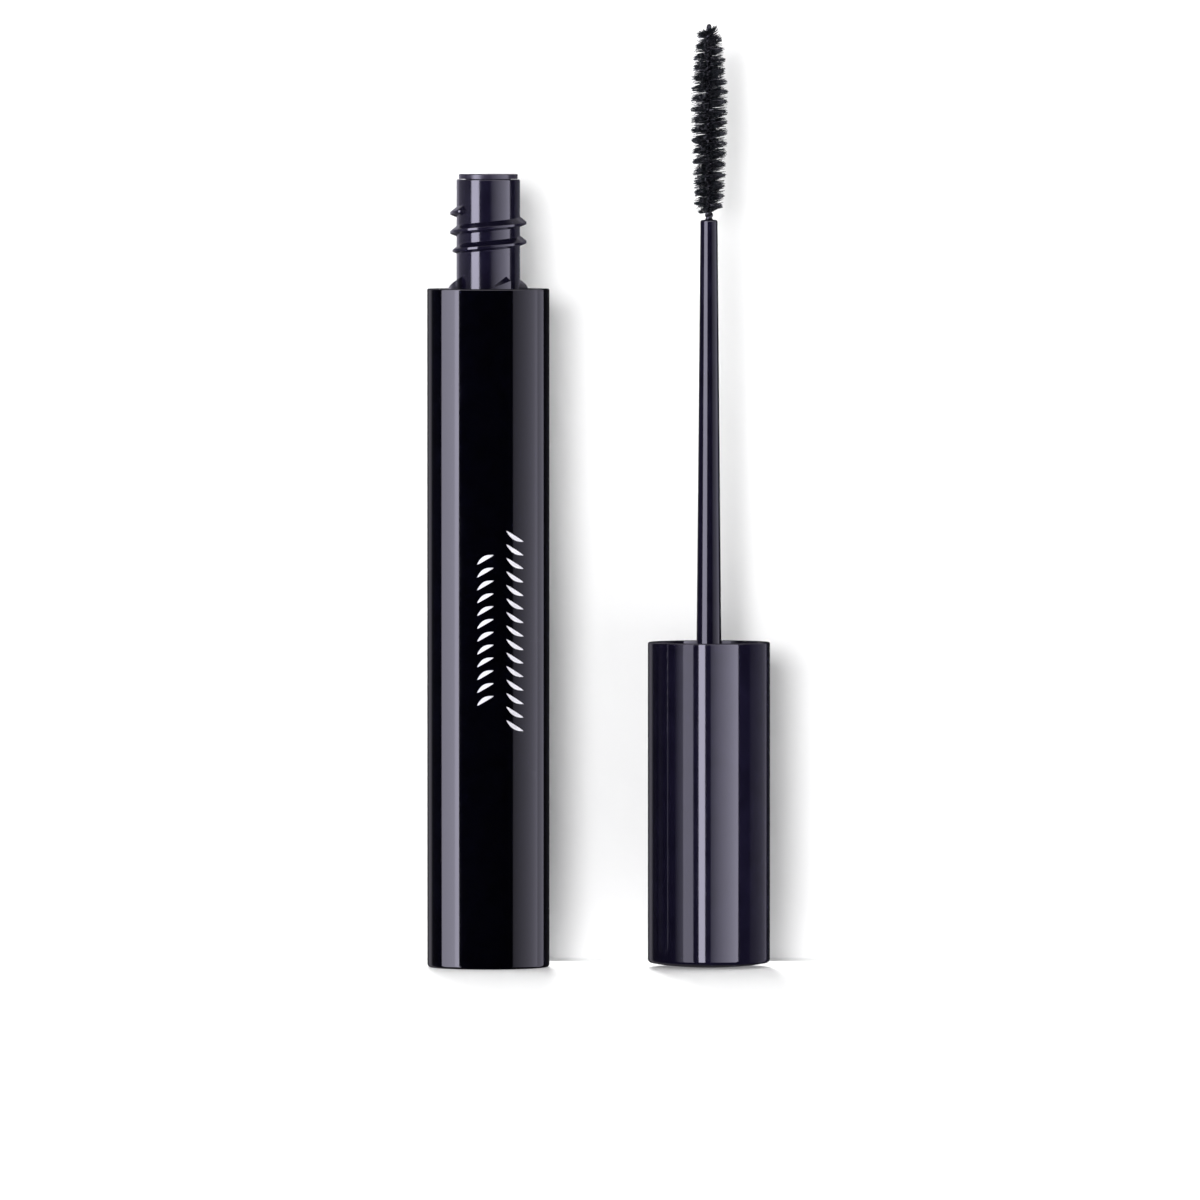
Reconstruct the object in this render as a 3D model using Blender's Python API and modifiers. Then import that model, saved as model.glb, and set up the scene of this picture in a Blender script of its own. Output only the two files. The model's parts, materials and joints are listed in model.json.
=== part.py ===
"""Open mascara: the bottle stands at the left, the wand stands on its cap at the right, brush up.

Metres, +Z up. Both pieces stand on z = 0, and the origin lies midway between their axes.
"""

import math

import bmesh
import bpy
from mathutils import Matrix, Vector

MM = 0.001

# Layout
AXIS_X = 14.45 * MM

# Sleeve and cap shell
OUTER_R = 8.0 * MM
SLEEVE_TOP = 88.9 * MM
SLEEVE_WALL = 0.8 * MM
SLEEVE_FLOOR = 1.2 * MM
CAP_LENGTH = 42.6 * MM
CAP_WALL = 1.1 * MM
CAP_END_WALL = 1.5 * MM

# Neck of the inner bottle
NECK_R = 4.15 * MM
NECK_TOP = 103.2 * MM
NECK_BORE_R = 3.05 * MM
LIP_TOP = 103.9 * MM
LIP_R = 3.85 * MM
BODY_GAP = 0.25 * MM
BODY_WALL = 1.0 * MM

# Thread, right-handed, one start
PITCH = 2.5 * MM
THREAD_R = 5.0 * MM
THREAD_BURY = 0.25 * MM
THREAD_FIRST = 4.85 * MM
THREAD_START = -125.0
THREAD_END = 681.0
THREAD_RUN_IN = 70.0
THREAD_RUN_OUT = 14.0

# Ratchet teeth round the foot of the neck
TOOTH_R = 5.2 * MM
TOOTH_COUNT = 4
TOOTH_FIRST = 5.0
TOOTH_LAST = 35.0
TOOTH_LOW = 0.15 * MM
TOOTH_HIGH = 1.75 * MM

# Cap insert
INSERT_GAP = 0.1 * MM
INSERT_BORE_R = 5.2 * MM
INSERT_CREST_R = 4.4 * MM
INSERT_MOUTH_R = 5.6 * MM
INSERT_MOUTH = 2.4 * MM
INSERT_RECESS = 0.4 * MM
INSERT_CEILING = 24.6 * MM
CEILING_WALL = 1.5 * MM
STOP_FIRST = 36.0
STOP_LAST = 54.0

# Stem
STEM_ROOT_R = 1.66 * MM
STEM_RIM_R = 1.62 * MM
STEM_TIP_R = 1.12 * MM
STEM_END = 97.9 * MM
STEM_HEAD_R = 3.2 * MM
STEM_HEAD = 1.2 * MM
STEM_BORE_R = 0.6 * MM
STEM_BORE = 5.0 * MM

# Seal
GASKET_R = 4.2 * MM
GASKET_BORE_R = 1.95 * MM
GASKET = 1.2 * MM
GASKET_LIFT = 0.08 * MM

# Brush
WIRE_R = 0.25 * MM
WIRE_HELIX_R = 0.28 * MM
WIRE_PITCH = 1.36 * MM
WIRE_START = 93.4 * MM
WIRE_END = 122.8 * MM
WIRE_LOOP_R = 0.34 * MM
WIRE_STEPS = 6
BRUSH_BORE_R = 0.6 * MM
BRUSH_BOTTOM = 98.8 * MM
BRUSH_TOP = 122.7 * MM

LARGE_STEPS = 48
SMALL_STEPS = 32
FINE_STEPS = 24


def clear_scene():
    for old in list(bpy.data.objects):
        bpy.data.objects.remove(old)


def collection_of(name):
    made = bpy.data.collections.new(name)
    bpy.context.scene.collection.children.link(made)
    return made


def plastic(name, color, roughness, metallic=0.0):
    material = bpy.data.materials.new(name)
    material.use_nodes = True
    shader = material.node_tree.nodes["Principled BSDF"]
    shader.inputs["Base Color"].default_value = (*color, 1.0)
    shader.inputs["Roughness"].default_value = roughness
    shader.inputs["Metallic"].default_value = metallic
    material.diffuse_color = (*color, 1.0)
    return material


def arc_corner(before, corner, after, radius, steps):
    """Points of a rounded corner in a profile, or the corner itself where it's sharp."""
    if radius <= 0:
        return [corner]
    a = Vector(before) - Vector(corner)
    b = Vector(after) - Vector(corner)
    half = a.angle(b) / 2
    reach = radius / math.tan(half)
    start = Vector(corner) + a.normalized() * reach
    end = Vector(corner) + b.normalized() * reach
    toward = (a.normalized() + b.normalized()).normalized()
    centre = Vector(corner) + toward * (radius / math.sin(half))
    first = start - centre
    turn = first.angle_signed(end - centre)
    found = []
    for step in range(steps + 1):
        arm = first.copy()
        arm.rotate(Matrix.Rotation(-turn * step / steps, 2))
        found.append(tuple(centre + arm))
    return found


def rounded(corners, closed, steps=2):
    """Corners (radius, height, rounding) become profile points (radius, height)."""
    points = []
    count = len(corners)
    for index, (r, z, rounding) in enumerate(corners):
        inside = closed or 0 < index < count - 1
        before = corners[index - 1][:2]
        after = corners[(index + 1) % count][:2]
        points += arc_corner(before, (r, z), after, rounding if inside else 0, steps)
    return points


def link(name, mesh, collection, material):
    made = bpy.data.objects.new(name, mesh)
    mesh.materials.append(material)
    collection.objects.link(made)
    return made


def turned(name, corners, x, steps, collection, material, closed=False):
    """A turned solid: the profile runs down its outer side, from top to bottom."""
    points = rounded(corners, closed)
    edges = [(i, i + 1) for i in range(len(points) - 1)]
    if closed:
        edges.append((len(points) - 1, 0))
    mesh = bpy.data.meshes.new(name)
    mesh.from_pydata([(r, 0, z) for r, z in points], edges, [])
    made = link(name, mesh, collection, material)
    made.location.x = x
    screw = made.modifiers.new("Turn", "SCREW")
    screw.steps = steps
    screw.render_steps = steps
    screw.use_merge_vertices = True
    screw.merge_threshold = 0.000001
    screw.use_smooth_shade = True
    return made


def solid_mesh(made):
    """The object's finished mesh, welded, in place of its modifiers."""
    bpy.context.view_layer.update()
    graph = bpy.context.evaluated_depsgraph_get()
    mesh = bpy.data.meshes.new_from_object(made.evaluated_get(graph))
    shape = bmesh.new()
    shape.from_mesh(mesh)
    bmesh.ops.remove_doubles(shape, verts=shape.verts, dist=0.000001)
    bmesh.ops.recalc_face_normals(shape, faces=shape.faces)
    shape.to_mesh(mesh)
    shape.free()
    return mesh


def around(r, degrees, z):
    """The point at this angle, counted from the front towards the right."""
    angle = math.radians(degrees)
    return Vector((r * math.sin(angle), -r * math.cos(angle), z))


def loft(name, rings, collection, material):
    """A closed solid through equal rings of points, flat at both ends."""
    shape = bmesh.new()
    made = [[shape.verts.new(p) for p in ring] for ring in rings]
    sides = len(rings[0])
    for low, high in zip(made, made[1:]):
        for i in range(sides):
            j = (i + 1) % sides
            shape.faces.new((low[i], low[j], high[j], high[i]))
    shape.faces.new(made[0])
    shape.faces.new(made[-1])
    bmesh.ops.recalc_face_normals(shape, faces=shape.faces)
    mesh = bpy.data.meshes.new(name)
    shape.to_mesh(mesh)
    shape.free()
    return link(name, mesh, collection, material)


def ease(value):
    clipped = min(max(value, 0.0), 1.0)
    return clipped * clipped * (3 - 2 * clipped)


def ridge_rings(first, last, run_in, run_out, height_of, section, steps_per_turn):
    """Rings of a helical ridge, its section fading into the wall at both ends."""
    count = round((last - first) / 360 * steps_per_turn)
    rings = []
    for step in range(count + 1):
        angle = first + (last - first) * step / count
        fade_in = ease((angle - first) / run_in)
        fade_out = ease((last - angle) / run_out)
        fade = max(min(fade_in, fade_out), 0.04)
        rings.append([around(r, angle, height_of(angle) + z) for r, z in section(fade)])
    return rings


def outer_section(fade):
    """The bottle's ridge: a sloping upper side, a flatter underside and a narrow crest."""
    root = NECK_R - THREAD_BURY
    crest = NECK_R + (THREAD_R - NECK_R) * fade
    return [
        (root, 0.95 * MM * fade + 0.05 * MM),
        (crest, 0.13 * MM * fade),
        (crest, -0.13 * MM * fade),
        (root, -0.52 * MM * fade - 0.05 * MM),
    ]


def inner_section(fade):
    """The cap's ridge, which runs in the groove of the bottle's thread."""
    root = INSERT_BORE_R + THREAD_BURY
    crest = INSERT_BORE_R - (INSERT_BORE_R - INSERT_CREST_R) * fade
    return [
        (root, 0.68 * MM * fade + 0.04 * MM),
        (crest, 0.12 * MM * fade),
        (crest, -0.12 * MM * fade),
        (root, -0.68 * MM * fade - 0.04 * MM),
    ]


def outer_height(angle):
    return SLEEVE_TOP + THREAD_FIRST + PITCH * (angle + 90) / 360


def inner_height(angle):
    """Height of the cap's ridge in the standing wand, which is the closed cap turned over."""
    groove = THREAD_FIRST + PITCH * (-angle + 90) / 360 - 1.15 * MM
    return CAP_LENGTH - groove


def tooth_rings(first, last, inner, outer, bottom, low, high):
    """Rings of a block round the axis whose top rises from low to high."""
    count = 6
    rings = []
    for step in range(count + 1):
        angle = first + (last - first) * step / count
        top = low + (high - low) * step / count
        corners = [(inner, bottom), (outer, bottom), (outer, top), (inner, top)]
        rings.append([around(r, angle, z) for r, z in corners])
    return rings


def combine(base, others, operation):
    """Booleans others into base, one after another, and keeps the finished mesh."""
    for other in others:
        cut = base.modifiers.new(other.name, "BOOLEAN")
        cut.operation = operation
        cut.solver = "EXACT"
        cut.object = other
    finished = solid_mesh(base)
    base.modifiers.clear()
    spent = base.data
    base.data = finished
    bpy.data.meshes.remove(spent)
    for other in others:
        bpy.data.objects.remove(other)


def shade(made, sharp_degrees=35.0):
    made.data.shade_smooth()
    made.data.set_sharp_from_angle(angle=math.radians(sharp_degrees))


def build_sleeve(parts, material):
    inner = OUTER_R - SLEEVE_WALL
    corners = [
        (0, SLEEVE_FLOOR, 0),
        (inner, SLEEVE_FLOOR, 0.4 * MM),
        (inner, SLEEVE_TOP, 0.1 * MM),
        (OUTER_R, SLEEVE_TOP, 0.22 * MM),
        (OUTER_R, 0, 0.4 * MM),
        (0, 0, 0),
    ]
    turned("outer_sleeve", corners, -AXIS_X, LARGE_STEPS, parts, material)


def build_bottle(parts, material):
    body = OUTER_R - SLEEVE_WALL - BODY_GAP
    shoulder = SLEEVE_TOP - 0.15 * MM
    cavity = body - BODY_WALL
    floor = SLEEVE_FLOOR + 0.3 * MM
    corners = [
        (0, floor + 1.2 * MM, 0),
        (cavity, floor + 1.2 * MM, 0.9 * MM),
        (cavity, shoulder - 3.6 * MM, 0.6 * MM),
        (NECK_BORE_R, shoulder - 1.6 * MM, 0.4 * MM),
        (NECK_BORE_R, NECK_TOP, 0.12 * MM),
        (NECK_R, NECK_TOP, 0.18 * MM),
        (NECK_R, shoulder, 0.15 * MM),
        (body, shoulder, 0.2 * MM),
        (body, floor, 0.7 * MM),
        (0, floor, 0),
    ]
    made = turned("inner_bottle", corners, 0, LARGE_STEPS, parts, material)
    rings = ridge_rings(
        THREAD_START, THREAD_END, THREAD_RUN_IN, THREAD_RUN_OUT, outer_height, outer_section, 30
    )
    joined = [loft("thread", rings, parts, material)]
    for index in range(TOOTH_COUNT):
        turn = index * 360 / TOOTH_COUNT
        rings = tooth_rings(
            turn + TOOTH_FIRST,
            turn + TOOTH_LAST,
            NECK_R - THREAD_BURY,
            TOOTH_R,
            shoulder - 0.3 * MM,
            SLEEVE_TOP + TOOTH_LOW,
            SLEEVE_TOP + TOOTH_HIGH,
        )
        joined.append(loft(f"tooth_{index}", rings, parts, material))
    combine(made, joined, "UNION")
    made.location.x = -AXIS_X
    shade(made)


def build_wiper(parts, material):
    tube = NECK_BORE_R - 0.08 * MM
    seat = NECK_TOP + 0.05 * MM
    end = NECK_TOP - 12.0 * MM
    corners = [
        (LIP_R, LIP_TOP, 0.15 * MM),
        (LIP_R, seat, 0),
        (tube, seat, 0),
        (tube, end, 0.3 * MM),
        (1.6 * MM, end - 1.6 * MM, 0.1 * MM),
        (1.9 * MM, end + 0.6 * MM, 0.2 * MM),
        (2.45 * MM, end + 3.0 * MM, 0),
        (2.45 * MM, LIP_TOP, 0.25 * MM),
    ]
    turned("wiper", corners, -AXIS_X, SMALL_STEPS, parts, material, closed=True)


def build_paste(parts, material):
    """Thick paste at its filled level, with the channel that the wand leaves in it."""
    cavity = OUTER_R - SLEEVE_WALL - BODY_GAP - BODY_WALL - 0.1 * MM
    floor = SLEEVE_FLOOR + 1.7 * MM
    level = 66.0 * MM
    corners = [
        (0, 6.6 * MM, 0),
        (2.9 * MM, 7.6 * MM, 0.5 * MM),
        (2.9 * MM, level, 0.3 * MM),
        (cavity, level + 0.8 * MM, 0),
        (cavity, floor, 1.0 * MM),
        (0, floor, 0),
    ]
    turned("mascara_fill", corners, -AXIS_X, FINE_STEPS, parts, material)


def build_cap(parts, material):
    """The closed end is a shallow dome with a small flat, on which the wand stands."""
    inner = OUTER_R - CAP_WALL
    corners = [
        (0, CAP_END_WALL, 0),
        (inner, CAP_END_WALL + 0.5 * MM, 0.6 * MM),
        (inner, CAP_LENGTH, 0.12 * MM),
        (OUTER_R, CAP_LENGTH, 0.22 * MM),
        (OUTER_R, 0.62 * MM, 0.55 * MM),
        (6.2 * MM, 0.3 * MM, 0.0),
        (4.4 * MM, 0.12 * MM, 0.0),
        (2.6 * MM, 0, 0),
        (0, 0, 0),
    ]
    turned("cap_shell", corners, AXIS_X, LARGE_STEPS, parts, material)


def build_insert(parts, material):
    outer = OUTER_R - CAP_WALL - INSERT_GAP
    rim = CAP_LENGTH - INSERT_RECESS
    ceiling = INSERT_CEILING + CEILING_WALL
    mouth = CAP_LENGTH - INSERT_MOUTH
    corners = [
        (outer, rim, 0.1 * MM),
        (outer, INSERT_CEILING, 0.3 * MM),
        (STEM_ROOT_R + 0.12 * MM, INSERT_CEILING, 0),
        (STEM_ROOT_R + 0.12 * MM, ceiling, 0),
        (INSERT_BORE_R, ceiling, 0.3 * MM),
        (INSERT_BORE_R, mouth - 0.5 * MM, 0),
        (INSERT_MOUTH_R, mouth, 0),
        (INSERT_MOUTH_R, rim, 0.1 * MM),
    ]
    made = turned("cap_insert", corners, 0, LARGE_STEPS, parts, material, closed=True)
    rings = ridge_rings(-536.0, -133.0, 24.0, 24.0, inner_height, inner_section, 24)
    joined = [loft("cap_thread", rings, parts, material)]
    for index in range(TOOTH_COUNT):
        turn = index * 360 / TOOTH_COUNT
        rings = tooth_rings(
            turn - STOP_LAST,
            turn - STOP_FIRST,
            4.55 * MM,
            INSERT_MOUTH_R + THREAD_BURY,
            mouth + 0.7 * MM,
            rim - 0.1 * MM,
            rim - 0.1 * MM,
        )
        joined.append(loft(f"stop_{index}", rings, parts, material))
    combine(made, joined, "UNION")
    made.location.x = AXIS_X
    shade(made)


def build_gasket(parts, material):
    bottom = INSERT_CEILING + CEILING_WALL + GASKET_LIFT
    corners = [
        (GASKET_R, bottom + GASKET, 0.25 * MM),
        (GASKET_R, bottom, 0.25 * MM),
        (GASKET_BORE_R, bottom, 0.1 * MM),
        (GASKET_BORE_R, bottom + GASKET, 0.1 * MM),
    ]
    turned("seal_gasket", corners, AXIS_X, SMALL_STEPS, parts, material, closed=True)


def build_stem(parts, material):
    head = INSERT_CEILING - 0.1 * MM
    corners = [
        (0, STEM_END - STEM_BORE, 0),
        (STEM_BORE_R, STEM_END - STEM_BORE, 0),
        (STEM_BORE_R, STEM_END, 0.08 * MM),
        (STEM_TIP_R, STEM_END, 0.3 * MM),
        (STEM_RIM_R, CAP_LENGTH, 0),
        (STEM_ROOT_R, head, 0),
        (STEM_HEAD_R, head, 0.2 * MM),
        (STEM_HEAD_R, head - STEM_HEAD, 0.2 * MM),
        (0, head - STEM_HEAD, 0),
    ]
    turned("stem", corners, AXIS_X, FINE_STEPS, parts, material)


def wire_points():
    """One wire, folded in half at a loop, with its two halves twisted together."""
    turns = (WIRE_END - WIRE_START) / WIRE_PITCH
    count = round(turns * WIRE_STEPS)
    rise = (WIRE_END - WIRE_START) / count
    last = turns * 360

    def strand(side):
        return [
            around(WIRE_HELIX_R, side + last * i / count, WIRE_START + rise * i)
            for i in range(count + 1)
        ]

    up = strand(0)
    down = strand(180)
    loop = []
    across = (up[-1] - down[-1]) / 2
    outward = across.normalized()
    for step in range(1, 6):
        angle = math.pi * step / 6
        bulge = 1 + (WIRE_LOOP_R / WIRE_HELIX_R - 1) * math.sin(angle)
        height = WIRE_END + WIRE_LOOP_R * 1.5 * math.sin(angle)
        side = outward * (WIRE_HELIX_R * bulge * math.cos(angle))
        loop.append(Vector((side.x, side.y, height)))
    return up + loop + down[::-1]


def build_wire(parts, material):
    points = wire_points()
    curve = bpy.data.curves.new("brush_wire", "CURVE")
    curve.dimensions = "3D"
    curve.bevel_depth = WIRE_R
    curve.bevel_resolution = 1
    curve.use_fill_caps = True
    line = curve.splines.new("POLY")
    line.points.add(len(points) - 1)
    for point, place in zip(line.points, points):
        point.co = (*place, 1.0)
    curve.materials.append(material)
    made = bpy.data.objects.new("brush_wire", curve)
    parts.objects.link(made)
    made.location.x = AXIS_X


def build_bristles(parts, material):
    """The space that the bristles fill round the wire: a slim spindle."""
    corners = [
        (1.2 * MM, BRUSH_TOP, 0.2 * MM),
        (1.8 * MM, 121.3 * MM, 0),
        (2.15 * MM, 118.5 * MM, 0),
        (2.4 * MM, 115.4 * MM, 0),
        (2.4 * MM, 107.0 * MM, 0),
        (2.1 * MM, 103.0 * MM, 0),
        (1.8 * MM, 99.8 * MM, 0),
        (1.45 * MM, BRUSH_BOTTOM, 0.2 * MM),
        (BRUSH_BORE_R, BRUSH_BOTTOM, 0),
        (BRUSH_BORE_R, BRUSH_TOP, 0),
    ]
    turned("bristles", corners, AXIS_X, FINE_STEPS, parts, material, closed=True)


def main():
    clear_scene()
    parts = collection_of("mascara")
    dark = (0.012, 0.010, 0.020)
    build_sleeve(parts, plastic("sleeve_plastic", dark, 0.12))
    build_bottle(parts, plastic("bottle_plastic", (0.016, 0.014, 0.026), 0.16))
    build_wiper(parts, plastic("wiper_plastic", (0.020, 0.018, 0.030), 0.3))
    build_paste(parts, plastic("mascara_paste", (0.004, 0.004, 0.005), 0.25))
    build_cap(parts, plastic("cap_plastic", dark, 0.12))
    build_insert(parts, plastic("insert_plastic", (0.018, 0.016, 0.026), 0.3))
    build_gasket(parts, plastic("gasket_rubber", (0.05, 0.05, 0.055), 0.6))
    build_stem(parts, plastic("stem_plastic", (0.014, 0.012, 0.022), 0.18))
    build_wire(parts, plastic("wire_steel", (0.42, 0.41, 0.43), 0.3, 1.0))
    build_bristles(parts, plastic("bristle_nylon", (0.006, 0.006, 0.008), 0.5))


main()
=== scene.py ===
"""Open mascara: a dark glossy bottle, and beside it the wand standing on its cap, brush up.

Metres, +Z up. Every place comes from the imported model; the pieces built here refine what it shows.
"""

import json
import math
import random

import bmesh
import bpy
from mathutils import Matrix, Vector

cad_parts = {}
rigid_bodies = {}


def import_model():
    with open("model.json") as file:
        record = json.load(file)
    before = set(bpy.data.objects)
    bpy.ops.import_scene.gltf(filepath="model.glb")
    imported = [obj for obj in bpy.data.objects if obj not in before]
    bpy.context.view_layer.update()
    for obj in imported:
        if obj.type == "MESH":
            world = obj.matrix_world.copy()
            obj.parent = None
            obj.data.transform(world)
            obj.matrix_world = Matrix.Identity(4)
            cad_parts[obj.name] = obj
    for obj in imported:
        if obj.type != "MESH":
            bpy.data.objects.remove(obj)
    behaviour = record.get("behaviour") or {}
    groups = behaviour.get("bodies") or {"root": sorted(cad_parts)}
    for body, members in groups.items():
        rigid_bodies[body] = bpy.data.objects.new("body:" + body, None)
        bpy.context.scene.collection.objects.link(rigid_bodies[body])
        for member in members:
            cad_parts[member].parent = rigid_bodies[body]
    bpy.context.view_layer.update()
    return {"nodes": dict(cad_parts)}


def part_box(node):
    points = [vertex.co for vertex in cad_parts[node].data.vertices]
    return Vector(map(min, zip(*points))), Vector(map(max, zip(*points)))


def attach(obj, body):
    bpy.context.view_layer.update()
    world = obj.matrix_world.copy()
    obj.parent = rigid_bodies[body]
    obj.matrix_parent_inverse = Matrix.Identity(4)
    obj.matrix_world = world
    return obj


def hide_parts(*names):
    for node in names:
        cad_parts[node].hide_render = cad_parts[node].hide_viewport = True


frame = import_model()

MM = 0.001
LARGE_STEPS = 144
SMALL_STEPS = 96
FILLET_STEPS = 6
RIM_ROUND = 0.22 * MM

# Walls of the sleeve and the cap
SLEEVE_WALL = 0.8 * MM
SLEEVE_FLOOR = 1.2 * MM
CAP_WALL = 1.1 * MM
CAP_FLOOR = 1.5 * MM

# Neck, thread and ratchet teeth
NECK_R = 4.15 * MM
NECK_BORE_R = 3.05 * MM
SHOULDER_DROP = 0.15 * MM
SHOULDER_R = 6.95 * MM
PITCH = 2.5 * MM
THREAD_R = 5.0 * MM
THREAD_FIRST = 4.85 * MM
THREAD_START = -125.0
THREAD_END = 681.0
THREAD_RUN_IN = 70.0
THREAD_RUN_OUT = 14.0
THREAD_STEPS = 96
ROOT_SINK = 0.25 * MM
TOOTH_R = 5.2 * MM
TOOTH_COUNT = 4
TOOTH_FIRST = 5.0
TOOTH_LAST = 35.0
TOOTH_LOW = 0.15 * MM
TOOTH_HIGH = 1.75 * MM
TOOTH_BROW = 0.6
TOOTH_STEPS = 12

# Wiper in the neck
WIPER_GAP = 0.08 * MM
WIPER_LENGTH = 12.0 * MM
WIPER_BORE_R = 2.45 * MM
WIPER_LIP_R = 1.6 * MM

# Wire and bristles
WIRE_R = 0.25 * MM
WIRE_HELIX_R = 0.28 * MM
WIRE_PITCH = 1.363 * MM
WIRE_STEPS = 28
WIRE_SIDES = 12
WIRE_LOOP_R = 0.34 * MM
ROW_PHASE = 90.0
ROW_HEIGHT = 113.18 * MM
BRUSH_OUTLINE = (
    (98.75, 1.5),
    (99.4, 1.78),
    (100.2, 2.0),
    (101.5, 2.1),
    (102.95, 2.18),
    (104.4, 2.22),
    (105.7, 2.25),
    (107.0, 2.38),
    (108.5, 2.45),
    (112.7, 2.45),
    (115.4, 2.43),
    (118.0, 2.2),
    (120.1, 2.0),
    (121.4, 1.77),
    (122.5, 1.55),
)
CLUMPS_PER_TURN = 24
FIBRES_PER_CLUMP = 7
FILL_FIBRES = 3000
STRAY_FIBRES = 520
FIBRE_R = 0.058 * MM
STRAY_R = 0.028 * MM

# Printed ornament on the sleeve
INK_LIFT = 0.012 * MM
LEAF_WIDTH = 0.55 * MM
LEAF_STEPS = 14
# Each row: angle, lowest and highest height in mm, count, leaf length in mm, lean
INK_ROWS = ((-2.4, 34.3, 54.4, 12, 2.5, 1.0), (26.4, 31.0, 57.5, 15, 2.9, -1.0))

# Stage, light and camera
# Painted light on the stage card: its own glow stands in for the room's light, stronger on the level floor
# than on the upright backdrop, and full beyond CARD_FAR
CARD_GLOW_UPRIGHT = 0.0
CARD_GLOW_LEVEL = 0.2
CARD_NEAR = 0.17
CARD_FAR = 0.4
ROOM_LIGHT = 0.1
KEY_PLACE = Vector((-0.18, -1.0, 0.21))
KEY_SIZE = 0.36
KEY_ENERGY = 7.9
BACK_PLACE = Vector((-0.06, 0.9, 0.33))
BACK_SIZE = 0.14
BACK_ENERGY = 20.0
BACKDROP_Y = 0.016
FLOOR_GAP = 0.00002
SOFTBOX_AWAY = 1.0
SOFTBOX_HEIGHT = 1.4
SOFTBOX_MIDDLE = 0.06
SOFTBOX_POWER = 4.7
SOFTBOX_TINT = (0.83, 0.8, 1.0)
WALL_TINT = (0.92, 0.88, 1.0)
OVERHEAD_GLOW = (2.9, 2.75, 3.2)
# Glow of the studio's walls in reflections, by angle from the front
WALL_GLOW = (
    (-180, 0.05),
    (-158, 0.1),
    (-150, 0.4),
    (-140, 0.4),
    (-132, 0.03),
    (-100, 0.004),
    (100, 0.004),
    (132, 0.015),
    (170, 0.04),
    (180, 0.05),
)
# Softboxes round each part: first and last angle, and the brightness at each
STRIPS = {
    "sleeve": (
        (-99, -66, 2.6, 4.3),
        (-66, -57, 5.4, 6.2),
        (48, 107, 0.4, 1.4),
        (107, 129, 0.85, 0.85),
    ),
    "neck": (
        (-170, -72, 0.45, 0.15),
        (-64, -33, 7.5, 8.0),
        (8, 86, 0.1, 3.6),
        (114, 172, 0.15, 0.15),
    ),
    "cap": (
        (-68, -50, 0.0, 0.9),
        (-50, -30, 2.3, 2.3),
        (-19.5, -7.5, 7.6, 7.6),
        (3, 57, 0.6, 4.3),
        (84, 140, 0.1, 0.4),
    ),
    "stem": ((-66, -20, 4.6, 4.6), (34, 112, 0.2, 1.6)),
}
VIEW_CENTRE = Vector((0.00018, 0.0, 0.0481))
VIEW_DISTANCE = 2.175
VIEW_ELEVATION = 1.6
VIEW_ANGLE = 4.14


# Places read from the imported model

def middle_x(node):
    """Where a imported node's middle stands from left to right."""
    low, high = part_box(node)
    return (low.x + high.x) / 2


def half_width(node):
    """A turned node's radius, from its depth."""
    low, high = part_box(node)
    return (high.y - low.y) / 2


BOTTLE_X = middle_x("outer_sleeve")
WAND_X = middle_x("cap_shell")
OUTER_R = half_width("outer_sleeve")
SLEEVE_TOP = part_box("outer_sleeve")[1].z
CAP_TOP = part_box("cap_shell")[1].z
NECK_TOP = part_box("inner_bottle")[1].z
LIP_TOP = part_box("wiper")[1].z
LIP_R = half_width("wiper")
STEM_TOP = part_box("stem")[1].z
STEM_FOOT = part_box("stem")[0].z
WIRE_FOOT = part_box("brush_wire")[0].z + WIRE_R
WIRE_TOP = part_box("brush_wire")[1].z - WIRE_R - WIRE_LOOP_R * 1.5
BRUSH_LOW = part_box("bristles")[0].z
BRUSH_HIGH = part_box("bristles")[1].z


# Shapes

def around(r, degrees, z):
    """The point at this angle, counted from the front towards the right."""
    angle = math.radians(degrees)
    return Vector((r * math.sin(angle), -r * math.cos(angle), z))


def ease(value):
    """A smooth step from zero to one."""
    clipped = min(max(value, 0.0), 1.0)
    return clipped * clipped * (3 - 2 * clipped)


def between(table, x):
    """Straight-line reading of a table of (x, y) pairs."""
    for (x0, y0), (x1, y1) in zip(table, table[1:]):
        if x <= x1:
            share = min(max((x - x0) / (x1 - x0), 0.0), 1.0)
            return y0 + (y1 - y0) * share
    return table[-1][1]


def arc_corner(before, corner, after, radius):
    """Points of a rounded corner in a profile, or the corner itself where it's sharp."""
    if radius <= 0:
        return [corner]
    a = Vector(before) - Vector(corner)
    b = Vector(after) - Vector(corner)
    half = a.angle(b) / 2
    reach = radius / math.tan(half)
    start = Vector(corner) + a.normalized() * reach
    end = Vector(corner) + b.normalized() * reach
    toward = (a.normalized() + b.normalized()).normalized()
    centre = Vector(corner) + toward * (radius / math.sin(half))
    first = start - centre
    turn = first.angle_signed(end - centre)
    found = []
    for step in range(FILLET_STEPS + 1):
        arm = first.copy()
        arm.rotate(Matrix.Rotation(-turn * step / FILLET_STEPS, 2))
        found.append(tuple(centre + arm))
    return found


def rounded(corners, closed):
    """Corners (radius, height, rounding) become profile points (radius, height)."""
    points = []
    count = len(corners)
    for index, (r, z, rounding) in enumerate(corners):
        inside = closed or 0 < index < count - 1
        before = corners[index - 1][:2]
        after = corners[(index + 1) % count][:2]
        points += arc_corner(before, (r, z), after, rounding if inside else 0)
    return points


def add_turned(shape, corners, steps, closed=False):
    """Turns a profile of (radius, height, rounding) about the Z axis."""
    points = rounded(corners, closed)
    rings = []
    for r, z in points:
        if r < 1e-7:
            rings.append([shape.verts.new((0, 0, z))] * steps)
        else:
            rings.append([shape.verts.new(around(r, 360 * i / steps, z)) for i in range(steps)])
    pairs = list(zip(rings, rings[1:]))
    if closed:
        pairs.append((rings[-1], rings[0]))
    for low, high in pairs:
        for i in range(steps):
            j = (i + 1) % steps
            corner = list(dict.fromkeys((low[i], low[j], high[j], high[i])))
            if len(corner) > 2:
                shape.faces.new(corner)


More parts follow.
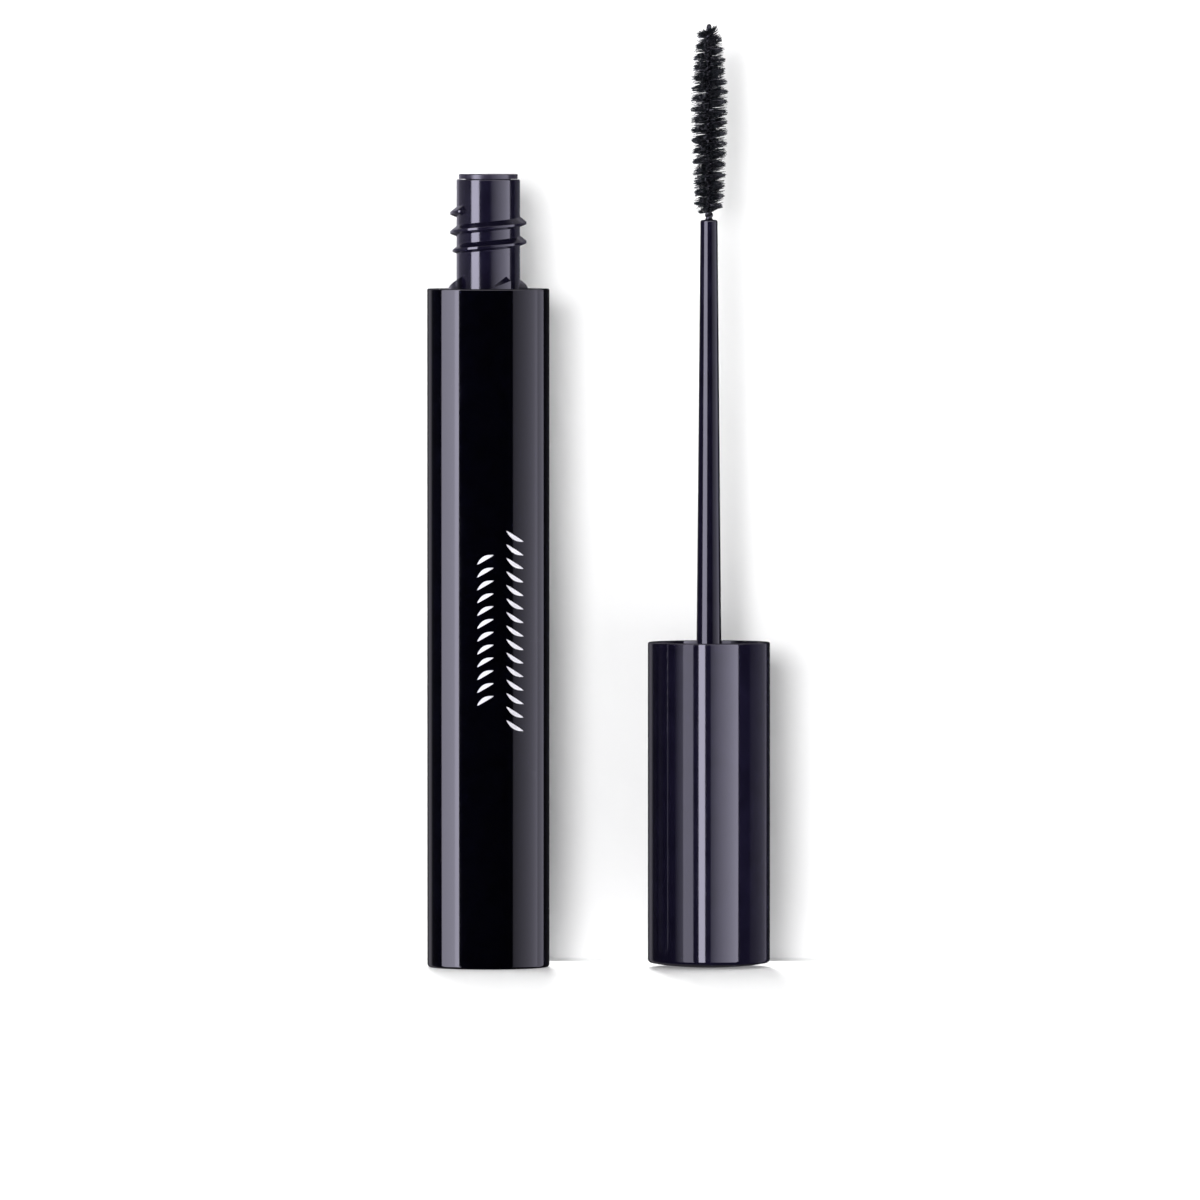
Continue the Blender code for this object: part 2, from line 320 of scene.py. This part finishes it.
def add_loft(shape, rings):
    """A skin through equal closed rings of points, closed at both ends."""
    made = [[shape.verts.new(p) for p in ring] for ring in rings]
    sides = len(rings[0])
    for low, high in zip(made, made[1:]):
        for i in range(sides):
            j = (i + 1) % sides
            shape.faces.new((low[i], low[j], high[j], high[i]))
    shape.faces.new(made[0])
    shape.faces.new(made[-1])


def add_tube(shape, path, radius_at, sides):
    """A round bar along a path, radius_at giving its radius for a share of the length."""
    rings = []
    side = None
    for index, point in enumerate(path):
        ahead = path[min(index + 1, len(path) - 1)] - path[max(index - 1, 0)]
        ahead.normalize()
        if side is None:
            side = ahead.orthogonal()
        side = (side - ahead * side.dot(ahead)).normalized()
        other = ahead.cross(side)
        radius = radius_at(index / (len(path) - 1))
        ring = []
        for corner in range(sides):
            turn = 2 * math.pi * corner / sides
            ring.append(point + (side * math.cos(turn) + other * math.sin(turn)) * radius)
        rings.append(ring)
    add_loft(shape, rings)


def piece(name, shape, x, material, body, sharp_degrees=35.0):
    """A finished piece from its mesh, standing on its axis and riding on its body."""
    bmesh.ops.recalc_face_normals(shape, faces=shape.faces)
    mesh = bpy.data.meshes.new(name)
    shape.to_mesh(mesh)
    shape.free()
    mesh.shade_smooth()
    mesh.set_sharp_from_angle(angle=math.radians(sharp_degrees))
    mesh.materials.append(material)
    made = bpy.data.objects.new(name, mesh)
    made.location.x = x
    bpy.context.scene.collection.objects.link(made)
    bpy.context.view_layer.update()
    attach(made, body)
    return made


# Materials

def add_node(tree, kind, **values):
    made = tree.nodes.new(kind)
    for key, value in values.items():
        setattr(made, key, value)
    return made


def noise(tree, place, scale, detail=3.0, roughness=0.55):
    made = add_node(tree, "ShaderNodeTexNoise")
    made.inputs["Scale"].default_value = scale
    made.inputs["Detail"].default_value = detail
    made.inputs["Roughness"].default_value = roughness
    tree.links.new(place, made.inputs["Vector"])
    return made.outputs["Fac"]


def remap(tree, value, low, high, to_low, to_high):
    made = add_node(tree, "ShaderNodeMapRange")
    for key, number in (("From Min", low), ("From Max", high), ("To Min", to_low), ("To Max", to_high)):
        made.inputs[key].default_value = number
    tree.links.new(value, made.inputs["Value"])
    return made.outputs["Result"]


def math_of(tree, operation, first, second):
    made = add_node(tree, "ShaderNodeMath", operation=operation)
    for socket, value in zip(made.inputs, (first, second)):
        if isinstance(value, (int, float)):
            socket.default_value = value
        else:
            tree.links.new(value, socket)
    return made.outputs["Value"]


def blend_colour(tree, share, first, second):
    made = add_node(tree, "ShaderNodeMix", data_type="RGBA")
    tree.links.new(share, made.inputs["Factor"])
    for socket, value in ((made.inputs[6], first), (made.inputs[7], second)):
        if isinstance(value, tuple):
            socket.default_value = (*value, 1.0)
        else:
            tree.links.new(value, socket)
    return made.outputs[2]


def edge_mask(tree, reach):
    """One along the part's own edges and zero on its faces."""
    soft = add_node(tree, "ShaderNodeBevel", samples=4)
    soft.inputs["Radius"].default_value = reach
    true = add_node(tree, "ShaderNodeNewGeometry")
    dot = add_node(tree, "ShaderNodeVectorMath", operation="DOT_PRODUCT")
    tree.links.new(soft.outputs["Normal"], dot.inputs[0])
    tree.links.new(true.outputs["Normal"], dot.inputs[1])
    return remap(tree, dot.outputs["Value"], 0.98, 0.75, 0.0, 1.0)


def surface(name, dark, light, rough, grain, bump, wear=None, metallic=0.0, haze=400.0):
    """A finish whose colour drifts between two tones, with a fine grain and rubbed edges.

    rough is the lowest and highest roughness, grain the grain's size in metres, bump its
    depth in metres, and wear the colour of a rubbed edge.
    """
    material = bpy.data.materials.new(name)
    material.use_nodes = True
    tree = material.node_tree
    shader = tree.nodes["Principled BSDF"]
    place = add_node(tree, "ShaderNodeTexCoord").outputs["Object"]
    drift = noise(tree, place, haze)
    fine = noise(tree, place, 1.0 / grain, 2.0)
    colour = blend_colour(tree, remap(tree, drift, 0.3, 0.7, 0.0, 1.0), dark, light)
    roughness = remap(tree, noise(tree, place, haze * 0.45, 4.0), 0.3, 0.7, *rough)
    if wear:
        edge = edge_mask(tree, 0.12 * MM)
        patches = remap(tree, noise(tree, place, 900.0, 4.0), 0.42, 0.62, 0.0, 1.0)
        rubbed = math_of(tree, "MULTIPLY", edge, patches)
        colour = blend_colour(tree, rubbed, colour, wear)
        roughness = math_of(tree, "ADD", roughness, math_of(tree, "MULTIPLY", rubbed, 0.15))
    relief = add_node(tree, "ShaderNodeBump")
    relief.inputs["Strength"].default_value = 1.0
    relief.inputs["Distance"].default_value = bump
    tree.links.new(fine, relief.inputs["Height"])
    tree.links.new(colour, shader.inputs["Base Color"])
    tree.links.new(roughness, shader.inputs["Roughness"])
    tree.links.new(relief.outputs["Normal"], shader.inputs["Normal"])
    shader.inputs["Metallic"].default_value = metallic
    return material


def make_materials():
    """The finishes by name. All the plastics share one dark violet-black family."""
    ink_black = (0.0004, 0.0004, 0.0011)
    navy = (0.0008, 0.0008, 0.0024)
    black = (0.0026, 0.0022, 0.0055)
    violet = (0.0044, 0.0038, 0.009)
    dull_black = (0.006, 0.005, 0.01)
    dull_violet = (0.012, 0.01, 0.018)
    rubbed = (0.035, 0.032, 0.05)
    return {
        "sleeve": surface("gloss_sleeve", ink_black, navy, (0.05, 0.09), 2.2 * MM, 0.4e-6, rubbed),
        "cap": surface("gloss_cap", black, violet, (0.05, 0.09), 2.2 * MM, 0.4e-6, rubbed),
        "bottle": surface("moulded_bottle", black, violet, (0.10, 0.16), 0.9 * MM, 0.8e-6, rubbed),
        "wiper": surface(
            "soft_wiper", dull_black, dull_violet, (0.22, 0.34), 0.5 * MM, 2e-6, rubbed
        ),
        "insert": surface(
            "moulded_insert", dull_black, dull_violet, (0.25, 0.4), 0.4 * MM, 3e-6, rubbed
        ),
        "stem": surface("gloss_stem", black, violet, (0.08, 0.13), 0.9 * MM, 0.8e-6, rubbed),
        "gasket": surface(
            "gasket_foam", (0.03, 0.03, 0.033), (0.06, 0.06, 0.065), (0.6, 0.8), 0.12 * MM, 1e-5
        ),
        "paste": surface(
            "wet_paste", (0.002, 0.002, 0.002), (0.006, 0.005, 0.005), (0.12, 0.35), 0.8 * MM, 6e-5
        ),
        "wire": surface(
            "dark_wire", (0.01, 0.01, 0.012), (0.05, 0.05, 0.056), (0.2, 0.32), 0.1 * MM, 2e-6, metallic=0.7
        ),
        "fibre": surface(
            "nylon_fibre",
            (0.001, 0.001, 0.001),
            (0.011, 0.015, 0.016),
            (0.3, 0.5),
            0.1 * MM,
            2e-6,
            haze=1500.0,
        ),
        "stray": surface(
            "nylon_stray", (0.05, 0.05, 0.055), (0.22, 0.22, 0.23), (0.35, 0.55), 0.1 * MM, 2e-6
        ),
        "ink": surface(
            "white_ink", (0.78, 0.78, 0.8), (0.9, 0.9, 0.91), (0.3, 0.42), 0.15 * MM, 2e-6, haze=900.0
        ),
    }


# Bottle

def build_sleeve(material):
    """The outer tube with its closed base."""
    shape = bmesh.new()
    inner = OUTER_R - SLEEVE_WALL
    corners = [
        (0, SLEEVE_FLOOR, 0),
        (inner, SLEEVE_FLOOR, 0.4 * MM),
        (inner, SLEEVE_TOP, 0.1 * MM),
        (OUTER_R, SLEEVE_TOP, RIM_ROUND),
        (OUTER_R, 0, 0.4 * MM),
        (0, 0, 0),
    ]
    add_turned(shape, corners, LARGE_STEPS)
    made = piece("sleeve_shell", shape, BOTTLE_X, material, "bottle")
    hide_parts("outer_sleeve")
    return made


def thread_section(fade):
    """The ridge's rounded section: a sloping upper side, a flatter underside, a narrow crest."""
    root = NECK_R - ROOT_SINK
    crest = NECK_R + (THREAD_R - NECK_R) * fade
    corners = [
        (root, 0.95 * MM * fade + 0.05 * MM, 0),
        (crest, 0.15 * MM * fade, 0.05 * MM * fade),
        (crest, -0.15 * MM * fade, 0.05 * MM * fade),
        (root, -0.52 * MM * fade - 0.05 * MM, 0),
    ]
    return rounded(corners, False)


def add_thread(shape):
    """The ridge of the screw thread, which rises out of the neck at both its ends."""
    count = round((THREAD_END - THREAD_START) / 360 * THREAD_STEPS)
    rings = []
    for step in range(count + 1):
        angle = THREAD_START + (THREAD_END - THREAD_START) * step / count
        fade_in = ease((angle - THREAD_START) / THREAD_RUN_IN)
        fade_out = ease((THREAD_END - angle) / THREAD_RUN_OUT)
        fade = max(min(fade_in, fade_out), 0.04)
        height = SLEEVE_TOP + THREAD_FIRST + PITCH * (angle + 90) / 360
        rings.append([around(r, angle, height + z) for r, z in thread_section(fade)])
    add_loft(shape, rings)


def add_tooth(shape, first, bottom):
    """A ratchet tooth: its top climbs to the right, slopes outwards and drops off square."""
    inner = NECK_R - ROOT_SINK
    rings = []
    for step in range(TOOTH_STEPS + 1):
        share = step / TOOTH_STEPS
        angle = first + (TOOTH_LAST - TOOTH_FIRST) * share
        rise = TOOTH_LOW + (TOOTH_HIGH - TOOTH_LOW) * share
        corners = [
            (inner, bottom, 0),
            (TOOTH_R, bottom, 0),
            (TOOTH_R, SLEEVE_TOP + rise * TOOTH_BROW, 0.07 * MM),
            (inner, SLEEVE_TOP + rise, 0),
        ]
        rings.append([around(r, angle, z) for r, z in rounded(corners, False)])
    add_loft(shape, rings)


def build_bottle(material):
    """The inner bottle: its body inside the sleeve, the threaded neck and the teeth at its foot."""
    shape = bmesh.new()
    shoulder = SLEEVE_TOP - SHOULDER_DROP
    floor = 1.5 * MM
    cavity = SHOULDER_R - 1.0 * MM
    corners = [
        (0, floor + 1.2 * MM, 0),
        (cavity, floor + 1.2 * MM, 0.9 * MM),
        (cavity, shoulder - 3.6 * MM, 0.6 * MM),
        (NECK_BORE_R, shoulder - 1.6 * MM, 0.4 * MM),
        (NECK_BORE_R, NECK_TOP, 0.12 * MM),
        (NECK_R, NECK_TOP, 0.18 * MM),
        (NECK_R, shoulder, 0.15 * MM),
        (SHOULDER_R, shoulder, 0.2 * MM),
        (SHOULDER_R, floor, 0.7 * MM),
        (0, floor, 0),
    ]
    add_turned(shape, corners, SMALL_STEPS)
    add_thread(shape)
    for index in range(TOOTH_COUNT):
        first = TOOTH_FIRST + index * 360 / TOOTH_COUNT
        add_tooth(shape, first, shoulder - 0.3 * MM)
    made = piece("bottle_neck", shape, BOTTLE_X, material, "bottle")
    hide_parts("inner_bottle")
    return made


def build_wiper(material):
    """The wiper: a flange on the neck's top, a tube in its bore and a narrow lip at the foot."""
    shape = bmesh.new()
    tube = NECK_BORE_R - WIPER_GAP
    seat = NECK_TOP + 0.05 * MM
    end = NECK_TOP - WIPER_LENGTH
    corners = [
        (LIP_R, LIP_TOP, 0.15 * MM),
        (LIP_R, seat, 0),
        (tube, seat, 0),
        (tube, end, 0.3 * MM),
        (WIPER_LIP_R, end - 1.6 * MM, 0.1 * MM),
        (WIPER_LIP_R + 0.3 * MM, end + 0.6 * MM, 0.2 * MM),
        (WIPER_BORE_R, end + 3.0 * MM, 0),
        (WIPER_BORE_R, LIP_TOP, 0.25 * MM),
    ]
    add_turned(shape, corners, SMALL_STEPS, closed=True)
    made = piece("wiper_ring", shape, BOTTLE_X, material, "bottle")
    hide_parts("wiper")
    return made


def add_leaf(shape, angle, z, length, lean):
    """A slim pointed leaf of ink, wrapped on the sleeve and leaning to one side."""
    rows = []
    for step in range(LEAF_STEPS + 1):
        share = step / LEAF_STEPS
        along = (share - 0.5) * length
        half = LEAF_WIDTH / 2 * math.sin(math.pi * share) ** 0.8
        bend = 0.22 * math.sin(math.pi * share) * lean
        row = []
        for side in (-1.0, -0.33, 0.33, 1.0):
            across = side * half + bend * MM
            u = along * 0.86 - across * 0.5 * lean
            v = along * 0.5 * lean + across * 0.86
            turn = angle + math.degrees(u / OUTER_R)
            row.append(shape.verts.new(around(OUTER_R + INK_LIFT, turn, z + v)))
        rows.append(row)
    for low, high in zip(rows, rows[1:]):
        for i in range(3):
            shape.faces.new((low[i], low[i + 1], high[i + 1], high[i]))


def build_ornament(material):
    """Two upright rows of small printed leaves on the front of the sleeve."""
    shape = bmesh.new()
    for angle, low, high, count, length, lean in INK_ROWS:
        for index in range(count):
            z = (low + (high - low) * (index + 0.5) / count) * MM
            add_leaf(shape, angle, z, length * MM, lean)
    bmesh.ops.remove_doubles(shape, verts=shape.verts, dist=1e-7)
    return piece("leaf_print", shape, BOTTLE_X, material, "bottle")


# Wand

def build_cap(material):
    """The cap's shell, open at the top, with a slightly domed end to stand on."""
    shape = bmesh.new()
    inner = OUTER_R - CAP_WALL
    corners = [
        (0, CAP_FLOOR, 0),
        (inner, CAP_FLOOR + 0.5 * MM, 0.6 * MM),
        (inner, CAP_TOP, 0.12 * MM),
        (OUTER_R, CAP_TOP, RIM_ROUND),
        (OUTER_R, 0.62 * MM, 0.55 * MM),
        (6.2 * MM, 0.3 * MM, 1.0 * MM),
        (4.4 * MM, 0.12 * MM, 1.0 * MM),
        (2.6 * MM, 0, 1.0 * MM),
        (0, 0, 0),
    ]
    add_turned(shape, corners, LARGE_STEPS)
    made = piece("cap_body", shape, WAND_X, material, "wand")
    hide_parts("cap_shell")
    return made


def build_stem(material):
    """The tapered stem, with a hole for the wire at its top and a broad head at its foot."""
    shape = bmesh.new()
    head = STEM_FOOT + 1.2 * MM
    socket = STEM_TOP - 5.0 * MM
    corners = [
        (0, socket, 0),
        (0.6 * MM, socket, 0),
        (0.6 * MM, STEM_TOP, 0.08 * MM),
        (1.12 * MM, STEM_TOP, 0.3 * MM),
        (1.62 * MM, CAP_TOP, 0),
        (1.66 * MM, head, 0),
        (3.2 * MM, head, 0.2 * MM),
        (3.2 * MM, STEM_FOOT, 0.2 * MM),
        (0, STEM_FOOT, 0),
    ]
    add_turned(shape, corners, SMALL_STEPS)
    made = piece("stem_rod", shape, WAND_X, material, "wand")
    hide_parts("stem")
    return made


def twist(z):
    """The angle that the bristle row has wound to at this height."""
    return ROW_PHASE + 360 * (z - ROW_HEIGHT) / WIRE_PITCH


def build_wire(material):
    """One wire, folded in half at a small loop, with its two halves twisted together."""
    shape = bmesh.new()
    count = round((WIRE_TOP - WIRE_FOOT) / WIRE_PITCH * WIRE_STEPS)
    heights = [WIRE_FOOT + (WIRE_TOP - WIRE_FOOT) * i / count for i in range(count + 1)]
    up = [around(WIRE_HELIX_R, twist(z) + 90, z) for z in heights]
    down = [around(WIRE_HELIX_R, twist(z) + 270, z) for z in heights]
    outward = (up[-1] - down[-1]).normalized()
    loop = []
    for step in range(1, 16):
        angle = math.pi * step / 16
        reach = WIRE_HELIX_R + (WIRE_LOOP_R - WIRE_HELIX_R) * math.sin(angle)
        side = outward * (reach * math.cos(angle))
        loop.append(Vector((side.x, side.y, WIRE_TOP + WIRE_LOOP_R * 1.5 * math.sin(angle))))
    path = up + loop + down[::-1]
    add_tube(shape, path, lambda share: WIRE_R, WIRE_SIDES)
    made = piece("twisted_wire", shape, WAND_X, material, "wand", 60.0)
    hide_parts("brush_wire")
    return made


def add_fibre(shape, angle, z, reach, droop, sway, radius, sides=3):
    """A thin bristle from the wire outwards, a little thinner at its tip."""
    path = []
    for step in range(5):
        share = step / 4
        r = 0.12 * MM + (reach - 0.12 * MM) * share
        bent = share * share
        path.append(around(r, angle + sway * bent, z + droop * bent))
    add_tube(shape, path, lambda share: radius * (1 - 0.3 * share), sides)


def tip_rise(z):
    """How far the bristles at the brush's end lift towards its tip."""
    return 0.55 * MM * ease((z - BRUSH_HIGH) / MM + 1.2)


def add_clumps(shape, chance):
    """The tufted rows: bristles wound round the wire in one helix, gathered into small clumps."""
    turns = (BRUSH_HIGH - BRUSH_LOW) / WIRE_PITCH
    count = round(turns * CLUMPS_PER_TURN)
    for index in range(count):
        z = BRUSH_LOW + 0.12 * MM + (BRUSH_HIGH - BRUSH_LOW - 0.24 * MM) * (index + 0.5) / count
        angle = twist(z) + chance.uniform(-5, 5)
        outline = between(BRUSH_OUTLINE, z / MM) * MM
        reach = outline * chance.uniform(0.92, 1.06)
        lean = (0.13 * math.sin(math.radians(angle)) + chance.uniform(-0.07, 0.07)) * MM
        sway = chance.uniform(-5, 5)
        crown = tip_rise(z)
        for _ in range(FIBRES_PER_CLUMP):
            foot = chance.uniform(-0.38, 0.38) * MM
            side = chance.uniform(-8, 8)
            add_fibre(
                shape,
                angle + side,
                min(max(z + foot, BRUSH_LOW + 0.05 * MM), BRUSH_HIGH - 0.05 * MM),
                reach * chance.uniform(0.87, 1.0),
                lean * 1.6 - foot * 0.45 + crown,
                sway - side * 0.6,
                FIBRE_R * chance.uniform(0.8, 1.15),
                4,
            )


def add_fill(shape, chance):
    """Shorter bristles that close the gaps between the tufted rows near the wire."""
    for _ in range(FILL_FIBRES):
        z = chance.uniform(BRUSH_LOW + 0.3 * MM, BRUSH_HIGH - 0.3 * MM)
        angle = chance.uniform(0, 360)
        outline = between(BRUSH_OUTLINE, z / MM) * MM
        reach = outline * (0.58 + 0.42 * chance.random() ** 1.2)
        lean = (0.15 * math.sin(math.radians(angle)) + chance.uniform(-0.12, 0.12)) * MM
        radius = FIBRE_R * chance.uniform(0.7, 1.0)
        add_fibre(shape, angle, z, reach, lean + tip_rise(z), chance.uniform(-9, 9), radius)


def build_bristles(material):
    """The brush's bristles, tufted rows and filling together."""
    shape = bmesh.new()
    add_clumps(shape, random.Random(11))
    add_fill(shape, random.Random(23))
    made = piece("bristle_tufts", shape, WAND_X, material, "wand", 60.0)
    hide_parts("bristles")
    return made


def build_strays(material):
    """Loose single bristles that stand between the tufted rows."""
    shape = bmesh.new()
    chance = random.Random(5)
    for _ in range(STRAY_FIBRES):
        z = chance.uniform(BRUSH_LOW + 0.4 * MM, BRUSH_HIGH - 0.6 * MM)
        angle = chance.uniform(0, 360)
        reach = between(BRUSH_OUTLINE, z / MM) * MM * chance.uniform(0.7, 1.0)
        droop = (0.15 * math.sin(math.radians(angle)) + chance.uniform(-0.2, 0.2)) * MM
        add_fibre(shape, angle, z, reach, droop, chance.uniform(-14, 14), STRAY_R)
    return piece("bristle_strays", shape, WAND_X, material, "wand", 60.0)


# Stage

def paper():
    """Pale matt card that isn't seen from behind. It carries painted light: its own glow stands in for the
    room's light falling on it, a little on the level floor and fully far out.
    """
    material = bpy.data.materials.new("pale_card")
    material.use_nodes = True
    tree = material.node_tree
    tree.nodes.clear()
    place = add_node(tree, "ShaderNodeTexCoord").outputs["Object"]
    matt = add_node(tree, "ShaderNodeBsdfDiffuse")
    tone = blend_colour(tree, noise(tree, place, 60.0), (0.86, 0.86, 0.865), (0.9, 0.9, 0.9))
    tree.links.new(tone, matt.inputs["Color"])
    facing = add_node(tree, "ShaderNodeSeparateXYZ")
    rear = add_node(tree, "ShaderNodeNewGeometry")
    tree.links.new(rear.outputs["Normal"], facing.inputs[0])
    # Painted light: the card's glow stands in for light falling on it, set by which way it faces and how
    # far out it lies
    painted_glow = add_node(tree, "ShaderNodeEmission")
    glow = remap(tree, facing.outputs["Z"], 0.0, 1.0, CARD_GLOW_UPRIGHT, CARD_GLOW_LEVEL)
    reach = add_node(tree, "ShaderNodeVectorMath", operation="LENGTH")
    tree.links.new(place, reach.inputs[0])
    far = remap(tree, reach.outputs["Value"], CARD_NEAR, CARD_FAR, 0.0, 1.0)
    tree.links.new(math_of(tree, "ADD", glow, far), painted_glow.inputs["Strength"])
    both = add_node(tree, "ShaderNodeAddShader")
    tree.links.new(matt.outputs[0], both.inputs[0])
    tree.links.new(painted_glow.outputs[0], both.inputs[1])
    clear = add_node(tree, "ShaderNodeBsdfTransparent")
    pick = add_node(tree, "ShaderNodeMixShader")
    tree.links.new(rear.outputs["Backfacing"], pick.inputs[0])
    tree.links.new(both.outputs[0], pick.inputs[1])
    tree.links.new(clear.outputs[0], pick.inputs[2])
    end = add_node(tree, "ShaderNodeOutputMaterial")
    tree.links.new(pick.outputs[0], end.inputs[0])
    return material


def build_stage():
    """A pale floor that turns up into a backdrop close behind the object."""
    bend = 0.0005
    side = 1.6
    front = -3.0
    height = 1.6
    line = [(front, 0.0), (BACKDROP_Y - bend, 0.0)]
    for step in range(1, 10):
        angle = math.pi / 2 * step / 10
        line.append((BACKDROP_Y - bend + bend * math.sin(angle), bend - bend * math.cos(angle)))
    line += [(BACKDROP_Y, bend), (BACKDROP_Y, height)]
    shape = bmesh.new()
    left = [shape.verts.new((-side, y, z - FLOOR_GAP)) for y, z in line]
    right = [shape.verts.new((side, y, z - FLOOR_GAP)) for y, z in line]
    for i in range(len(line) - 1):
        shape.faces.new((left[i], right[i], right[i + 1], left[i + 1]))
    mesh = bpy.data.meshes.new("pale_floor")
    shape.to_mesh(mesh)
    shape.free()
    mesh.shade_smooth()
    mesh.materials.append(paper())
    made = bpy.data.objects.new("pale_floor", mesh)
    made.visible_glossy = False
    bpy.context.scene.collection.objects.link(made)
    return made


def colour_walls(ramp):
    """Fills a ramp over the full turn: from behind, by the left and the front, to behind again."""
    for degrees, _ in WALL_GLOW[1:-1]:
        ramp.elements.new((degrees + 180) / 360)
    for element, (_, value) in zip(ramp.elements, WALL_GLOW):
        element.color = (*(value * part for part in WALL_TINT), 1)


def build_world():
    """White to the camera, dim on the floor, and a dark studio with soft walls in reflections."""
    world = bpy.data.worlds.new("studio")
    bpy.context.scene.world = world
    world.use_nodes = True
    tree = world.node_tree
    tree.nodes.clear()
    way = add_node(tree, "ShaderNodeTexCoord").outputs["Generated"]
    parts = add_node(tree, "ShaderNodeSeparateXYZ")
    tree.links.new(way, parts.inputs[0])
    depth = math_of(tree, "MULTIPLY", parts.outputs["Y"], -1.0)
    turn = math_of(tree, "ARCTAN2", parts.outputs["X"], depth)
    walls = add_node(tree, "ShaderNodeValToRGB")
    tree.links.new(remap(tree, turn, -math.pi, math.pi, 0.0, 1.0), walls.inputs[0])
    colour_walls(walls.color_ramp)
    rising = remap(tree, parts.outputs["Z"], 0.38, 0.5, 0.0, 1.0)
    above = math_of(tree, "MULTIPLY", rising, remap(tree, parts.outputs["Z"], 0.78, 0.9, 1.0, 0.06))
    above = math_of(tree, "MULTIPLY", above, remap(tree, depth, 0.05, 0.45, 0.12, 1.0))
    dim = blend_colour(tree, above, walls.outputs["Color"], OVERHEAD_GLOW)
    path = add_node(tree, "ShaderNodeLightPath")
    room = blend_colour(tree, path.outputs["Is Camera Ray"], (ROOM_LIGHT,) * 3, (1.0, 1.0, 1.0))
    seen = blend_colour(tree, path.outputs["Is Glossy Ray"], room, dim)
    light = add_node(tree, "ShaderNodeBackground")
    tree.links.new(seen, light.inputs["Color"])
    light.inputs["Strength"].default_value = 1.0
    end = add_node(tree, "ShaderNodeOutputWorld")
    tree.links.new(light.outputs[0], end.inputs[0])


def receivers(name, objects):
    """A group of objects that a light shines on alone."""
    group = bpy.data.collections.new(name)
    for made in objects:
        group.objects.link(made)
    return group


def strip_light(name, x, first, last, start, end, group):
    """An upright softbox that spans these angles as seen from the axis at x.

    Its brightness runs from start at the first angle to end at the last one.
    """
    middle = (first + last) / 2
    width = 2 * SOFTBOX_AWAY * math.tan(math.radians(last - first) / 2)
    data = bpy.data.lights.new(name, "AREA")
    data.shape = "RECTANGLE"
    data.size = width
    data.size_y = SOFTBOX_HEIGHT
    data.energy = SOFTBOX_POWER * width * SOFTBOX_HEIGHT
    data.color = SOFTBOX_TINT
    data.use_nodes = True
    tree = data.node_tree
    glow = tree.nodes["Emission"]
    across = add_node(tree, "ShaderNodeSeparateXYZ")
    tree.links.new(add_node(tree, "ShaderNodeNewGeometry").outputs["Parametric"], across.inputs[0])
    strength = remap(tree, across.outputs["X"], 0.0, 1.0, start, end)
    tree.links.new(strength, glow.inputs["Strength"])
    made = bpy.data.objects.new(name, data)
    made.location = Vector((x, 0, SOFTBOX_MIDDLE)) + around(SOFTBOX_AWAY, middle, 0)
    made.rotation_euler = (math.pi / 2, 0, math.radians(middle))
    made.visible_camera = False
    made.light_linking.receiver_collection = group
    made.light_linking.blocker_collection = group
    bpy.context.scene.collection.objects.link(made)


def shadow_lamp(name, place, aim, size, energy, stage, blockers):
    """A soft lamp that shines on the stage alone and lays the object's shadow on it."""
    data = bpy.data.lights.new(name, "AREA")
    data.shape = "DISK"
    data.size = size
    data.energy = energy
    made = bpy.data.objects.new(name, data)
    made.location = place
    made.rotation_euler = (aim - place).to_track_quat("-Z", "Y").to_euler()
    made.visible_camera = False
    made.light_linking.receiver_collection = stage
    made.light_linking.blocker_collection = blockers
    bpy.context.scene.collection.objects.link(made)


def build_lights(stage, groups):
    """Two shadow lamps, and the softboxes whose reflections draw the upright bands on each part."""
    lit = receivers("lit_stage", [stage])
    solid = receivers("casts_shadow", [made for _, _, group in groups for made in group.objects])
    wall = Vector((0, BACKDROP_Y, 0.05))
    shadow_lamp("key", KEY_PLACE, wall, KEY_SIZE, KEY_ENERGY, lit, solid)
    shadow_lamp("back", BACK_PLACE, Vector((0, -0.05, 0)), BACK_SIZE, BACK_ENERGY, lit, solid)
    for name, x, group in groups:
        for index, (first, last, start, end) in enumerate(STRIPS[name]):
            strip_light(f"{name}_strip_{index}", x, first, last, start, end, group)


def build_camera():
    """A long lens far in front, almost level with the object."""
    data = bpy.data.cameras.new("camera")
    data.sensor_width = 36.0
    data.angle = math.radians(VIEW_ANGLE)
    data.clip_start = 0.05
    data.clip_end = 20.0
    made = bpy.data.objects.new("camera", data)
    tilt = math.radians(VIEW_ELEVATION)
    back = Vector((0, -math.cos(tilt), math.sin(tilt)))
    made.location = VIEW_CENTRE + back * VIEW_DISTANCE
    made.rotation_euler = (math.pi / 2 - tilt, 0, 0)
    bpy.context.scene.collection.objects.link(made)
    bpy.context.scene.camera = made


def finish_node(name, material):
    """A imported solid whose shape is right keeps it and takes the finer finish."""
    made = frame["nodes"][name]
    for slot in made.material_slots:
        slot.link = "OBJECT"
        slot.material = material
    return made


def main():
    finish = make_materials()
    sleeve = [
        build_sleeve(finish["sleeve"]),
        build_ornament(finish["ink"]),
        finish_node("mascara_fill", finish["paste"]),
    ]
    neck = [build_bottle(finish["bottle"]), build_wiper(finish["wiper"])]
    cap = [
        build_cap(finish["cap"]),
        finish_node("cap_insert", finish["insert"]),
        finish_node("seal_gasket", finish["gasket"]),
    ]
    stem = [
        build_stem(finish["stem"]),
        build_wire(finish["wire"]),
        build_bristles(finish["fibre"]),
        build_strays(finish["stray"]),
    ]
    cap_body = cap[0]
    cap_body.visible_glossy = False
    stage = build_stage()
    build_world()
    groups = (
        ("sleeve", BOTTLE_X, receivers("lit_sleeve", sleeve)),
        ("neck", BOTTLE_X, receivers("lit_neck", neck)),
        ("cap", WAND_X, receivers("lit_cap", cap)),
        ("stem", WAND_X, receivers("lit_stem", stem)),
    )
    build_lights(stage, groups)
    build_camera()
    scene = bpy.context.scene
    scene.view_settings.view_transform = "Standard"
    scene.view_settings.look = "None"


main()
